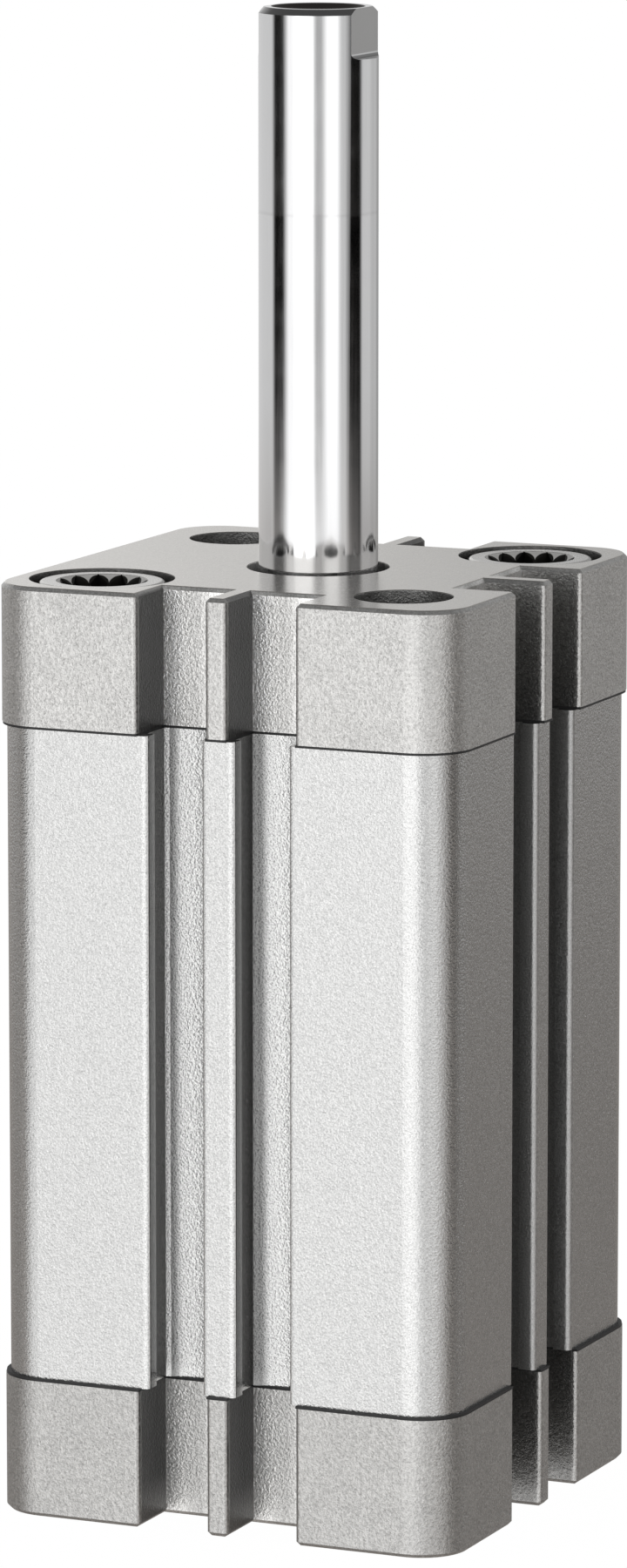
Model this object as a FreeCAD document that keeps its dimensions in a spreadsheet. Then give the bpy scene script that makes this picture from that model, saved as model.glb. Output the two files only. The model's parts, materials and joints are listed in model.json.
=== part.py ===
"""Compact double-acting pneumatic cylinder with a square profile barrel.

The frame has its origin at the centre of the end cap's resting face, with +Z along the piston rod
and both air ports on -X. The rod is drawn fully extended. All sizes are millimetres.
"""

import FreeCAD
import Part
import Sketcher

import math
import os
import re

SIZES = {
    # Cast caps
    "cap_height": 13.9,
    "cap_corner_radius": 5.1,
    "lobe_width": 16.5,
    "cap_rib_width": 2.25,
    "channel_depth": 6.45,
    "face_chamfer": 0.4,
    "edge_margin": 0.06,
    # Corner holes and cap screws
    "hole_inset": 8.75,
    "free_hole_diameter": 9.8,
    "screw_hole_diameter": 9.0,
    "counterbore_diameter": 14.5,
    "counterbore_depth": 5.4,
    "screw_head_diameter": 12.6,
    "screw_head_recess": 0.2,
    "screw_head_rounding": 0.4,
    "screw_shank_diameter": 8.5,
    "screw_reach": 16.0,
    "socket_tooth_diameter": 7.7,
    "socket_point_diameter": 9.2,
    "socket_notch_angle": 25.0,
    "socket_lead_depth": 0.8,
    "socket_depth": 4.2,
    "screw_thread_bore": 6.0,
    "screw_thread_depth": 18.0,
    # Air ports
    "port_bore": 9.73,
    "port_depth": 8.0,
    "port_inset": 7.0,
    "port_chamfer": 0.4,
    "air_hole_diameter": 3.2,
    "air_hole_offset": 13.4,
    # Barrel extrusion
    "bore_diameter": 32.0,
    "slot_web": 2.1,
    "barrel_inset": 0.45,
    "barrel_corner_radius": 4.8,
    "corner_channel_diameter": 8.6,
    "slot_rib_width": 3.54,
    "slot_opening": 5.82,
    "slot_lip": 1.85,
    "slot_rib_undercut": 0.6,
    "slot_lobe_undercut": 0.8,
    "slot_depth": 6.0,
    "slot_ledge": 0.5,
    "slot_ledge_rise": 0.15,
    "slot_trough": 0.45,
    "slot_edge_radius": 0.6,
    # Gaskets and bumpers
    "gasket_thickness": 0.25,
    "gasket_overhang": 0.4,
    "gasket_hole_diameter": 10.2,
    "bumper_outer_diameter": 22.4,
    "bumper_wall": 2.7,
    "bumper_seat_depth": 1.6,
    "bumper_standout": 0.8,
    # Piston rod and its guide
    "stroke": 50.0,
    "rod_diameter": 12.0,
    "rod_standout": 6.0,
    "rod_end_chamfer": 0.6,
    "rod_flat_depth": 1.0,
    "rod_flat_length": 5.0,
    "rod_flat_runout": 0.6,
    "rod_thread_wall": 2.0,
    "rod_end_land": 0.7,
    "rod_thread_depth": 16.0,
    "rod_recess_gap": 1.175,
    "rod_recess_depth": 1.0,
    "seal_groove_depth": 3.0,
    "wiper_height": 2.4,
    "wiper_lip_height": 0.55,
    "rod_seal_height": 2.4,
    "bush_wall": 1.0,
    "bush_chamfer": 0.3,
    # Piston
    "piston_side_gap": 0.25,
    "front_disc_length": 4.8,
    "magnet_length": 3.0,
    "rear_disc_length": 6.6,
    "piston_hub_diameter": 20.0,
    "guide_wall": 2.2,
    "piston_groove_depth": 3.5,
    "piston_groove_height": 2.8,
    "piston_groove_edge": 0.95,
    "seal_lip_width": 0.9,
    "rod_shoulder": 2.0,
    "oring_section": 1.3,
    "oring_seat_gap": 0.2,
    "nut_width": 13.0,
    "nut_height": 4.0,
    "nut_recess_gap": 1.75,
    "nut_recess_depth": 4.2,
    # Fits
    "running_clearance": 0.04,
    "seat_clearance": 0.02,
    "end_clearance": 0.1,
    "cut_allowance": 1.0,
}

PISTON_LENGTH = "(front_disc_length + magnet_length + rear_disc_length)"
BARREL_LENGTH = (
    f"(stroke + {PISTON_LENGTH} + 2 * bumper_standout + 2 * end_clearance - 2 * gasket_thickness)"
)
REAR_GASKET_Z = "cap_height"
BARREL_Z = "(cap_height + gasket_thickness)"
FRONT_GASKET_Z = f"({BARREL_Z} + {BARREL_LENGTH})"
BEARING_CAP_INNER_Z = f"({FRONT_GASKET_Z} + gasket_thickness)"
BEARING_CAP_OUTER_Z = f"({BEARING_CAP_INNER_Z} + cap_height)"
PISTON_FRONT_Z = f"({BEARING_CAP_INNER_Z} - bumper_standout - end_clearance)"
PISTON_REAR_Z = f"({PISTON_FRONT_Z} - {PISTON_LENGTH})"
SEAL_GROOVE_HEIGHT = "(wiper_height + rod_seal_height)"
EDGE_RADIUS = "(face_chamfer + edge_margin)"
BORE_RADIUS = "(bore_diameter / 2)"
BARREL_HALF = f"({BORE_RADIUS} + slot_web + slot_trough + slot_depth)"
CAP_HALF = f"({BARREL_HALF} + barrel_inset)"
CHANNEL_END = f"({CAP_HALF} - lobe_width)"
HALF_PITCH = f"({CAP_HALF} - hole_inset)"
BUMPER_INNER_RADIUS = "(bumper_outer_diameter / 2 - bumper_wall)"
MAGNET_RADIUS = f"({BORE_RADIUS} - guide_wall)"
PISTON_RADIUS = f"({BORE_RADIUS} - piston_side_gap)"
PISTON_GROOVE_RADIUS = f"({BORE_RADIUS} - piston_groove_depth)"
ROD_RADIUS = "(rod_diameter / 2)"
ROD_RECESS_RADIUS = f"({ROD_RADIUS} + rod_recess_gap)"
SEAL_GROOVE_RADIUS = f"({ROD_RADIUS} + seal_groove_depth)"
BUSH_RADIUS = f"({ROD_RADIUS} + bush_wall)"
SPIGOT_RADIUS = f"({ROD_RADIUS} - rod_shoulder)"
ORING_SEAT_RADIUS = f"({SPIGOT_RADIUS} + oring_section + oring_seat_gap)"
NUT_RECESS_RADIUS = "(nut_width / 2 + nut_recess_gap)"
SOCKET_POINTS = 12
TOLERANCE = 0.001


def bind(text):
    """Return an expression in which each size name points at its cell of the sheet."""

    def cell(match):
        word = match.group()
        return f"Sizes.{word}" if word in SIZES else word

    return re.sub(r"[a-z_]+", cell, text)


def number(owner, text):
    """Return the value that an expression has now."""
    value = owner.evalExpression(bind(text))
    return float(getattr(value, "Value", value))


def add_sheet(doc):
    """Write the driving sizes into the document's sheet."""
    sheet = doc.addObject("Spreadsheet::Sheet", "Sizes")
    for row, (alias, value) in enumerate(SIZES.items(), start=1):
        sheet.set(f"A{row}", alias)
        sheet.set(f"B{row}", str(value))
        sheet.setAlias(f"B{row}", alias)
    doc.recompute()


def add_body(doc, label, height="0", flipped=False):
    """Make an empty body whose base stands at a height, upside down where it is flipped."""
    body = doc.addObject("PartDesign::Body", label)
    body.Label = label
    if flipped:
        half_turn = FreeCAD.Rotation(FreeCAD.Vector(1, 0, 0), 180)
        body.Placement = FreeCAD.Placement(FreeCAD.Vector(), half_turn)
    body.setExpression("Placement.Base.z", bind(height))
    return body


def origin_part(body, role):
    """Return one of a body's own origin planes or axes."""
    return next(part for part in body.Origin.OriginFeatures if part.Role == role)


def add_sketch(body, name, plane="XY_Plane", lift="0"):
    """Attach an empty sketch to an origin plane of its body, lifted along the plane's normal."""
    sketch = body.newObject("Sketcher::SketchObject", f"{body.Name}_{name}")
    sketch.AttachmentSupport = [(origin_part(body, plane), "")]
    sketch.MapMode = "FlatFace"
    sketch.setExpression("AttachmentOffset.Base.z", bind(lift))
    return sketch


def pin_point(sketch, geometry, end, x, y):
    """Hold a point of a sketch at expressions measured from the sketch's origin."""
    for kind, axis, text in (("DistanceX", -2, x), ("DistanceY", -1, y)):
        if text == "0":
            sketch.addConstraint(Sketcher.Constraint("PointOnObject", geometry, end, axis))
            continue
        value = number(sketch, text)
        constraint = Sketcher.Constraint(kind, -1, 1, geometry, end, value)
        index = sketch.addConstraint(constraint)
        sketch.setExpression(f"Constraints[{index}]", bind(text))


def draw_circle(sketch, x, y, diameter):
    """Draw a circle whose centre and diameter are expressions."""
    centre = FreeCAD.Vector(number(sketch, x), number(sketch, y), 0)
    radius = number(sketch, diameter) / 2
    circle = sketch.addGeometry(Part.Circle(centre, FreeCAD.Vector(0, 0, 1), radius), False)
    pin_point(sketch, circle, 3, x, y)
    index = sketch.addConstraint(Sketcher.Constraint("Diameter", circle, 2 * radius))
    sketch.setExpression(f"Constraints[{index}]", bind(diameter))


def arc_between(start, end, radius):
    """Return the short arc from start to end that turns anticlockwise."""
    chord = end - start
    inward = FreeCAD.Vector(-chord.y, chord.x, 0).normalize()
    centre = (start + end) * 0.5 + inward * math.sqrt(radius**2 - chord.Length**2 / 4)
    first = math.atan2(start.y - centre.y, start.x - centre.x)
    last = math.atan2(end.y - centre.y, end.x - centre.x)
    if last < first:
        last += 2 * math.pi
    return Part.ArcOfCircle(Part.Circle(centre, FreeCAD.Vector(0, 0, 1), radius), first, last)


def draw_outline(sketch, vertices, arcs=None):
    """Draw a closed outline through vertices given anticlockwise as pairs of expressions.

    arcs maps the index of a vertex to the radius of the arc that leaves it.
    """
    arcs = arcs or {}
    points = [FreeCAD.Vector(number(sketch, x), number(sketch, y), 0) for x, y in vertices]
    edges = []
    for index, start in enumerate(points):
        end = points[(index + 1) % len(points)]
        if index in arcs:
            curve = arc_between(start, end, number(sketch, arcs[index]))
        else:
            curve = Part.LineSegment(start, end)
        edges.append(sketch.addGeometry(curve, False))
    for index, edge in enumerate(edges):
        following = edges[(index + 1) % len(edges)]
        sketch.addConstraint(Sketcher.Constraint("Coincident", edge, 2, following, 1))
    for (x, y), edge in zip(vertices, edges):
        pin_point(sketch, edge, 1, x, y)
    for index, radius in arcs.items():
        constraint = Sketcher.Constraint("Radius", edges[index], number(sketch, radius))
        constraint_index = sketch.addConstraint(constraint)
        sketch.setExpression(f"Constraints[{constraint_index}]", bind(radius))


def mirrored(vertices, arcs=None):
    """Return an outline reflected to the other side of X = 0, still anticlockwise."""
    arcs = arcs or {}
    flipped = [(f"-({x})", y) for x, y in reversed(vertices)]
    last = len(vertices) - 2
    return flipped, {last - index: radius for index, radius in arcs.items()}


def add_feature(body, kind, sketch, **settings):
    """Add a feature made from a sketch."""
    feature = body.newObject(f"PartDesign::{kind}", f"{sketch.Name}_{kind.lower()}")
    feature.Profile = sketch
    for name, value in settings.items():
        setattr(feature, name, value)
    return feature


def pad(body, sketch, length):
    """Raise a sketch into a solid along its normal."""
    feature = add_feature(body, "Pad", sketch)
    feature.setExpression("Length", bind(length))
    body.Document.recompute()
    return feature


def check_cut(body, feature, volume_before):
    """Raise an error if a cut took nothing away."""
    body.Document.recompute()
    if not feature.Shape.Volume < volume_before:
        raise RuntimeError(f"{feature.Name} cuts nothing")


def pocket(body, sketch, depth=None, along_normal=True):
    """Cut a sketch into the solid, right through it where no depth is given."""
    volume = body.Shape.Volume
    feature = add_feature(body, "Pocket", sketch, Reversed=along_normal)
    if depth is None:
        feature.Type = "ThroughAll"
    else:
        feature.setExpression("Length", bind(depth))
    check_cut(body, feature, volume)
    return feature


def polar_pattern(body, original, angle, count):
    """Repeat a cut about the body's Z axis."""
    volume = body.Shape.Volume
    pattern = body.newObject("PartDesign::PolarPattern", f"{original.Name}_pattern")
    pattern.Originals = [original]
    pattern.Axis = (origin_part(body, "Z_Axis"), [""])
    pattern.Angle = angle
    pattern.Occurrences = count
    body.Tip = pattern
    check_cut(body, pattern, volume)


def revolve(body, name, vertices, cut=False):
    """Turn an outline of radii and heights about the body's Z axis, as a solid or as a cut."""
    sketch = add_sketch(body, name, "XZ_Plane")
    draw_outline(sketch, vertices)
    volume = body.Shape.Volume if cut else None
    feature = add_feature(body, "Groove" if cut else "Revolution", sketch)
    feature.ReferenceAxis = (sketch, ["V_Axis"])
    feature.Angle = 360
    if cut:
        check_cut(body, feature, volume)
    else:
        body.Document.recompute()
    return feature


def ring(inner, outer, low, high):
    """Return the rectangular section of a ring between two radii and two heights."""
    return [(inner, low), (outer, low), (outer, high), (inner, high)]


def edge_names(shape, wanted):
    """Return the names of the edges of a shape that pass a test."""
    return [f"Edge{index}" for index, edge in enumerate(shape.Edges, start=1) if wanted(edge)]


def dress_edges(body, kind, name, wanted, size):
    """Round or chamfer the edges of the body's last feature that pass a test."""
    base = body.Tip
    feature = body.newObject(f"PartDesign::{kind}", f"{body.Name}_{name}")
    feature.Base = (base, edge_names(base.Shape, wanted))
    feature.setExpression("Radius" if kind == "Fillet" else "Size", bind(size))
    body.Document.recompute()


def is_upright(edge):
    """Tell whether an edge is a straight line along Z."""
    if not isinstance(edge.Curve, Part.Line):
        return False
    return abs(edge.tangentAt(edge.FirstParameter).z) > 0.999


def mouth_test(body, half_width, places):
    """Return a test for the upright edges of slot or channel mouths on the four outer sides.

    places are the distances of those edges from the middle of their side.
    """
    side = number(body, half_width)
    distances = [number(body, place) for place in places]

    def is_mouth(edge):
        if not is_upright(edge):
            return False
        across, outward = sorted((abs(edge.CenterOfMass.x), abs(edge.CenterOfMass.y)))
        on_side = abs(outward - side) < TOLERANCE
        return on_side and any(abs(across - distance) < TOLERANCE for distance in distances)

    return is_mouth


def square_blank(body, half_width, length, corner_radius):
    """Pad a square with four rounded corners."""
    sketch = add_sketch(body, "outline")
    minus = f"-({half_width})"
    draw_outline(sketch, ring(minus, half_width, minus, half_width))
    pad(body, sketch, length)
    dress_edges(body, "Fillet", "corners", is_upright, corner_radius)


def cut_channels(body, half_width):
    """Cut the pair of open channels beside the rib on the three sides that have no port."""
    low = f"-({half_width}) - cut_allowance"
    floor = f"-({CAP_HALF} - channel_depth)"
    outline = ring("cap_rib_width / 2", CHANNEL_END, low, floor)
    sketch = add_sketch(body, "channels")
    draw_outline(sketch, outline)
    draw_outline(sketch, mirrored(outline)[0])
    polar_pattern(body, pocket(body, sketch), 180, 3)


def break_outer_edges(body):
    """Round the cast upright edges of a cap and chamfer the rim of its machined outer face."""
    test = mouth_test(body, CAP_HALF, ("cap_rib_width / 2", CHANNEL_END))
    dress_edges(body, "Fillet", "cast_edges", test, EDGE_RADIUS)
    rim = max(filter(is_at_base, body.Tip.Shape.Faces), key=lambda face: face.Area).OuterWire.Edges
    dress_edges(
        body, "Chamfer", "rim", lambda edge: any(edge.isSame(other) for other in rim), "face_chamfer"
    )


def is_at_base(item):
    """Tell whether a face or edge of a feature lies in the plane of its body's base."""
    return abs(item.CenterOfMass.z) < TOLERANCE


def diagonal(side):
    """Return the two corner places on one diagonal, side 1 for equal signs of X and Y."""
    if side > 0:
        return [(HALF_PITCH, HALF_PITCH), (f"-{HALF_PITCH}", f"-{HALF_PITCH}")]
    return [(HALF_PITCH, f"-{HALF_PITCH}"), (f"-{HALF_PITCH}", HALF_PITCH)]


def cut_corner_holes(body, name, places, diameter, depth=None):
    """Cut round holes at corner places, upward from the body's base."""
    sketch = add_sketch(body, name)
    for x, y in places:
        draw_circle(sketch, x, y, diameter)
    pocket(body, sketch, depth)


def cut_port(body):
    """Cut the air port into -X, with the drillings that lead to the cap's inner face."""
    port = add_sketch(body, "port", "YZ_Plane", f"-{CAP_HALF}")
    draw_circle(port, "0", "port_inset", "port_bore")
    pocket(body, port, "port_depth")
    side = number(body, f"-{CAP_HALF}")
    radius = number(body, "port_bore / 2")

    def is_mouth(edge):
        if not isinstance(edge.Curve, Part.Circle):
            return False
        at_side = abs(edge.CenterOfMass.x - side) < TOLERANCE
        return at_side and abs(edge.Curve.Radius - radius) < TOLERANCE

    dress_edges(body, "Chamfer", "port_mouth", is_mouth, "port_chamfer")
    feed = add_sketch(body, "feed", "YZ_Plane", f"-{CAP_HALF}")
    draw_circle(feed, "0", "port_inset", "air_hole_diameter")
    pocket(body, feed, f"{CAP_HALF} - air_hole_offset")
    drilling = add_sketch(body, "drilling", lift="cap_height")
    draw_circle(drilling, "-air_hole_offset", "0", "air_hole_diameter")
    pocket(body, drilling, "cap_height - port_inset", along_normal=False)


def cut_bumper_seat(body):
    """Cut the ring seat of a bumper into a cap's inner face."""
    section = ring(
        BUMPER_INNER_RADIUS,
        "bumper_outer_diameter / 2",
        "cap_height - bumper_seat_depth",
        "cap_height + cut_allowance",
    )
    revolve(body, "bumper_seat", section, cut=True)


def make_cap(doc, label, height, flipped, screw_side):
    """Build what both caps share, standing on its outer face."""
    cap = add_body(doc, label, height, flipped)
    square_blank(cap, CAP_HALF, "cap_height", "cap_corner_radius")
    cut_channels(cap, CAP_HALF)
    break_outer_edges(cap)
    screw_places = diagonal(screw_side)
    cut_corner_holes(cap, "free_holes", diagonal(-screw_side), "free_hole_diameter")
    cut_corner_holes(cap, "screw_holes", screw_places, "screw_hole_diameter")
    cut_corner_holes(cap, "counterbores", screw_places, "counterbore_diameter", "counterbore_depth")
    cut_port(cap)
    cut_bumper_seat(cap)
    return cap


def make_end_cap(doc):
    """Build the closed rear cap."""
    return make_cap(doc, "end_cap", "0", False, 1)


def make_bearing_cap(doc):
    """Build the front cap, bored in steps for the rod's bush, seal and wiper."""
    cap = make_cap(doc, "bearing_cap", BEARING_CAP_OUTER_Z, True, -1)
    seal_end = f"rod_recess_depth + {SEAL_GROOVE_HEIGHT}"
    section = [
        ("0", "-cut_allowance"),
        (ROD_RECESS_RADIUS, "-cut_allowance"),
        (ROD_RECESS_RADIUS, "rod_recess_depth"),
        (SEAL_GROOVE_RADIUS, "rod_recess_depth"),
        (SEAL_GROOVE_RADIUS, seal_end),
        (BUSH_RADIUS, seal_end),
        (BUSH_RADIUS, "cap_height + cut_allowance"),
        ("0", "cap_height + cut_allowance"),
    ]
    revolve(cap, "rod_bore", section, cut=True)
    return cap


def make_barrel(doc):
    """Build the barrel extrusion with its bore, corner channels and undercut sensor slots."""
    barrel = add_body(doc, "barrel", BARREL_Z)
    square_blank(barrel, BARREL_HALF, BARREL_LENGTH, "barrel_corner_radius")
    mouth = "slot_rib_width / 2"
    mouth_end = f"{mouth} + slot_opening"
    near = f"{mouth} - slot_rib_undercut"
    far = f"{mouth_end} + slot_lobe_undercut"
    outside = f"-({BARREL_HALF} + cut_allowance)"
    lip = f"-({BARREL_HALF} - slot_lip)"
    floor = f"-({BARREL_HALF} - slot_depth)"
    ledge = f"{floor} - slot_ledge_rise"
    outline = [
        (mouth, outside),
        (mouth_end, outside),
        (mouth_end, lip),
        (far, lip),
        (far, ledge),
        (f"{far} - slot_ledge", floor),
        (f"{near} + slot_ledge", floor),
        (near, ledge),
        (near, lip),
        (mouth, lip),
    ]
    half_trough = f"(({far} - ({near})) / 2 - slot_ledge)"
    trough_radius = f"({half_trough} * {half_trough} + slot_trough * slot_trough) / (2 * slot_trough)"
    arcs = {5: trough_radius}
    slots = add_sketch(barrel, "slots")
    draw_outline(slots, outline, arcs)
    draw_outline(slots, *mirrored(outline, arcs))
    polar_pattern(barrel, pocket(barrel, slots), 360, 4)
    test = mouth_test(barrel, BARREL_HALF, (mouth, mouth_end))
    dress_edges(barrel, "Fillet", "slot_edges", test, "slot_edge_radius")
    cut_corner_holes(barrel, "corner_channels", diagonal(1) + diagonal(-1), "corner_channel_diameter")
    bore = add_sketch(barrel, "bore")
    draw_circle(bore, "0", "0", "bore_diameter")
    pocket(barrel, bore)
    return barrel


def make_gasket(doc, label, height):
    """Build a flat gasket that follows the cap's outline."""
    gasket = add_body(doc, label, height)
    half_width = f"({BARREL_HALF} + gasket_overhang)"
    square_blank(gasket, half_width, "gasket_thickness", "cap_corner_radius")
    cut_channels(gasket, half_width)
    cut_corner_holes(gasket, "screw_holes", diagonal(1) + diagonal(-1), "gasket_hole_diameter")
    opening = add_sketch(gasket, "opening")
    draw_circle(opening, "0", "0", "bore_diameter")
    pocket(gasket, opening)
    return gasket


def make_screw(doc, label, height, flipped):
    """Build one collar screw with a twelve-point socket and an inner thread, head at its base."""
    screw = add_body(doc, label, height, flipped)
    screw.setExpression("Placement.Base.x", bind(HALF_PITCH))
    screw.setExpression("Placement.Base.y", bind(HALF_PITCH))
    head_height = "(counterbore_depth - screw_head_recess)"
    shank_end = f"({head_height} + cap_height - counterbore_depth + gasket_thickness + screw_reach)"
    section = [
        ("0", "screw_thread_depth"),
        ("screw_thread_bore / 2", "screw_thread_depth"),
        ("screw_thread_bore / 2", "0"),
        ("screw_head_diameter / 2", "0"),
        ("screw_head_diameter / 2", head_height),
        ("screw_shank_diameter / 2", head_height),
        ("screw_shank_diameter / 2", shank_end),
        ("0", shank_end),
    ]
    revolve(screw, "section", section)
    rim_radius = number(screw, "screw_head_diameter / 2")

    def is_rim(edge):
        if not isinstance(edge.Curve, Part.Circle):
            return False
        return is_at_base(edge) and abs(edge.Curve.Radius - rim_radius) < TOLERANCE

    dress_edges(screw, "Fillet", "rim", is_rim, "screw_head_rounding")
    socket = add_sketch(screw, "socket")
    draw_circle(socket, "0", "0", "socket_tooth_diameter")
    pocket(screw, socket, "socket_depth")
    inner = "socket_tooth_diameter / 2"
    corner = (f"{inner} * cos(socket_notch_angle / 2)", f"{inner} * sin(socket_notch_angle / 2)")
    notch = add_sketch(screw, "notch")
    draw_outline(notch, [("socket_point_diameter / 2", "0"), corner, (corner[0], f"-({corner[1]})")])
    polar_pattern(screw, pocket(screw, notch, "socket_depth"), 360, SOCKET_POINTS)
    lead = [
        ("0", "0"),
        ("socket_point_diameter / 2", "0"),
        (inner, "socket_lead_depth"),
        ("0", "socket_lead_depth"),
    ]
    revolve(screw, "lead", lead, cut=True)
    return screw


def make_cap_screws(doc, label, height, flipped):
    """Group the two collar screws that hold one cap, one on each end of a diagonal."""
    screw = make_screw(doc, f"{label}_first", height, flipped)
    twin = doc.addObject("Part::Mirroring", f"{label}_second")
    twin.Source = screw
    twin.Base = FreeCAD.Vector(0, 0, 0)
    twin.Normal = FreeCAD.Vector(1, 1, 0)
    pair = doc.addObject("Part::Compound", label)
    pair.Label = label
    pair.Links = [screw, twin]
    doc.recompute()
    return pair


def make_bumper(doc, label, height, flipped):
    """Build an end-stop bumper ring, seated at its base."""
    bumper = add_body(doc, label, height, flipped)
    section = ring(
        f"{BUMPER_INNER_RADIUS} + seat_clearance",
        "bumper_outer_diameter / 2 - seat_clearance",
        "0",
        "bumper_seat_depth + bumper_standout",
    )
    revolve(bumper, "section", section)
    return bumper


def make_rod_bush(doc):
    """Build the plain bush that guides the rod."""
    length = f"(cap_height - rod_recess_depth - {SEAL_GROOVE_HEIGHT})"
    bush = add_body(doc, "rod_bush", BEARING_CAP_INNER_Z)
    bore = f"{ROD_RADIUS} + running_clearance"
    outer = f"{BUSH_RADIUS} - seat_clearance"
    section = [
        (f"{bore} + bush_chamfer", "0"),
        (outer, "0"),
        (outer, length),
        (f"{bore} + bush_chamfer", length),
        (bore, f"{length} - bush_chamfer"),
        (bore, "bush_chamfer"),
    ]
    revolve(bush, "section", section)
    return bush


def make_rod_seal(doc):
    """Build the rod's lip seal, open towards the pressure side."""
    height = f"({BEARING_CAP_OUTER_Z} - rod_recess_depth - {SEAL_GROOVE_HEIGHT})"
    seal = add_body(doc, "rod_seal", height)
    lip = f"{ROD_RADIUS} + running_clearance"
    outer = f"{SEAL_GROOVE_RADIUS} - seat_clearance"
    section = [
        (lip, "0"),
        (f"{lip} + seal_lip_width", "0"),
        (f"({lip} + {outer}) / 2", "rod_seal_height / 2"),
        (f"{outer} - seal_lip_width", "0"),
        (outer, "0"),
        (outer, "rod_seal_height"),
        (f"{lip} + seal_lip_width / 2", "rod_seal_height"),
        (f"{lip} + seal_lip_width / 2", "rod_seal_height / 2"),
    ]
    revolve(seal, "section", section)
    return seal


def make_rod_wiper(doc):
    """Build the wiper whose lip stands up in the recess around the rod."""
    wiper = add_body(doc, "rod_wiper", f"({BEARING_CAP_OUTER_Z} - rod_recess_depth - wiper_height)")
    lip = f"{ROD_RADIUS} + running_clearance"
    outer = f"{SEAL_GROOVE_RADIUS} - seat_clearance"
    shoulder = f"({ROD_RADIUS} + {ROD_RECESS_RADIUS}) / 2"
    section = [
        (shoulder, "0"),
        (outer, "0"),
        (outer, "wiper_height"),
        (shoulder, "wiper_height"),
        (lip, "wiper_height + wiper_lip_height"),
        (lip, "wiper_height + wiper_lip_height / 2"),
    ]
    revolve(wiper, "section", section)
    return wiper


def make_piston_rod(doc):
    """Build the rod with its wrench flats, threaded end and the spigot that carries the piston."""
    rod = add_body(doc, "piston_rod", PISTON_FRONT_Z)
    length = "(end_clearance + bumper_standout + cap_height + rod_standout + stroke)"
    spigot = f"({PISTON_LENGTH} - nut_recess_depth + nut_height)"
    thread = f"({ROD_RADIUS} - rod_thread_wall)"
    chamfered = f"({ROD_RADIUS} - rod_end_chamfer)"
    mouth = f"({chamfered} - rod_end_land)"
    section = [
        ("0", f"-{spigot}"),
        (SPIGOT_RADIUS, f"-{spigot}"),
        (SPIGOT_RADIUS, "0"),
        (ROD_RADIUS, "0"),
        (ROD_RADIUS, f"{length} - rod_end_chamfer"),
        (chamfered, length),
        (mouth, length),
        (thread, f"{length} - ({mouth} - {thread})"),
        (thread, f"{length} - rod_thread_depth"),
        ("0", f"{length} - rod_thread_depth"),
    ]
    revolve(rod, "section", section)
    flats = add_sketch(rod, "flats", lift=length)
    reach = f"{ROD_RADIUS} + cut_allowance"
    flat = ring(f"{ROD_RADIUS} - rod_flat_depth", reach, f"-({reach})", reach)
    draw_outline(flats, flat)
    draw_outline(flats, mirrored(flat)[0])
    pocket(rod, flats, "rod_flat_length", along_normal=False)
    shoulder = number(rod, f"{length} - rod_flat_length")
    flat_x = number(rod, f"{ROD_RADIUS} - rod_flat_depth")

    def is_runout(edge):
        if not isinstance(edge.Curve, Part.Line):
            return False
        centre = edge.CenterOfMass
        return abs(centre.z - shoulder) < TOLERANCE and abs(abs(centre.x) - flat_x) < TOLERANCE

    dress_edges(rod, "Fillet", "flat_runout", is_runout, "rod_flat_runout")
    return rod


def make_front_disc(doc):
    """Build the piston's front disc, with the hub that carries the magnet."""
    disc = add_body(doc, "piston_front_disc", f"({PISTON_REAR_Z} + rear_disc_length)")
    bore = f"{SPIGOT_RADIUS} + seat_clearance"
    top = "magnet_length + front_disc_length"
    section = [
        (bore, "0"),
        ("piston_hub_diameter / 2", "0"),
        ("piston_hub_diameter / 2", "magnet_length"),
        (PISTON_RADIUS, "magnet_length"),
        (PISTON_RADIUS, top),
        (ORING_SEAT_RADIUS, top),
        (ORING_SEAT_RADIUS, f"{top} - oring_section"),
        (bore, f"{top} - oring_section"),
    ]
    revolve(disc, "section", section)
    groove_top = f"{top} - piston_groove_edge"
    groove = ring(
        PISTON_GROOVE_RADIUS,
        BORE_RADIUS,
        f"{groove_top} - piston_groove_height",
        groove_top,
    )
    revolve(disc, "seal_groove", groove, cut=True)
    return disc


def make_rear_disc(doc):
    """Build the piston's rear disc, recessed for the nut."""
    disc = add_body(doc, "piston_rear_disc", PISTON_REAR_Z)
    bore = f"{SPIGOT_RADIUS} + seat_clearance"
    section = [
        (bore, "nut_recess_depth"),
        (NUT_RECESS_RADIUS, "nut_recess_depth"),
        (NUT_RECESS_RADIUS, "0"),
        (PISTON_RADIUS, "0"),
        (PISTON_RADIUS, "rear_disc_length"),
        (bore, "rear_disc_length"),
    ]
    revolve(disc, "section", section)
    groove = ring(
        PISTON_GROOVE_RADIUS,
        BORE_RADIUS,
        "piston_groove_edge",
        "piston_groove_edge + piston_groove_height",
    )
    revolve(disc, "seal_groove", groove, cut=True)
    return disc


def make_magnet(doc):
    """Build the ring magnet that the slot sensors read."""
    magnet = add_body(doc, "piston_magnet", f"({PISTON_REAR_Z} + rear_disc_length)")
    bore = "piston_hub_diameter / 2 + seat_clearance"
    revolve(magnet, "section", ring(bore, MAGNET_RADIUS, "0", "magnet_length"))
    return magnet


def make_guide_ring(doc):
    """Build the guide ring that runs in the bore around the magnet."""
    guide = add_body(doc, "piston_guide_ring", f"({PISTON_REAR_Z} + rear_disc_length)")
    section = ring(
        f"{MAGNET_RADIUS} + running_clearance",
        f"{BORE_RADIUS} - running_clearance",
        "running_clearance",
        "magnet_length - running_clearance",
    )
    revolve(guide, "section", section)
    return guide


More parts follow.
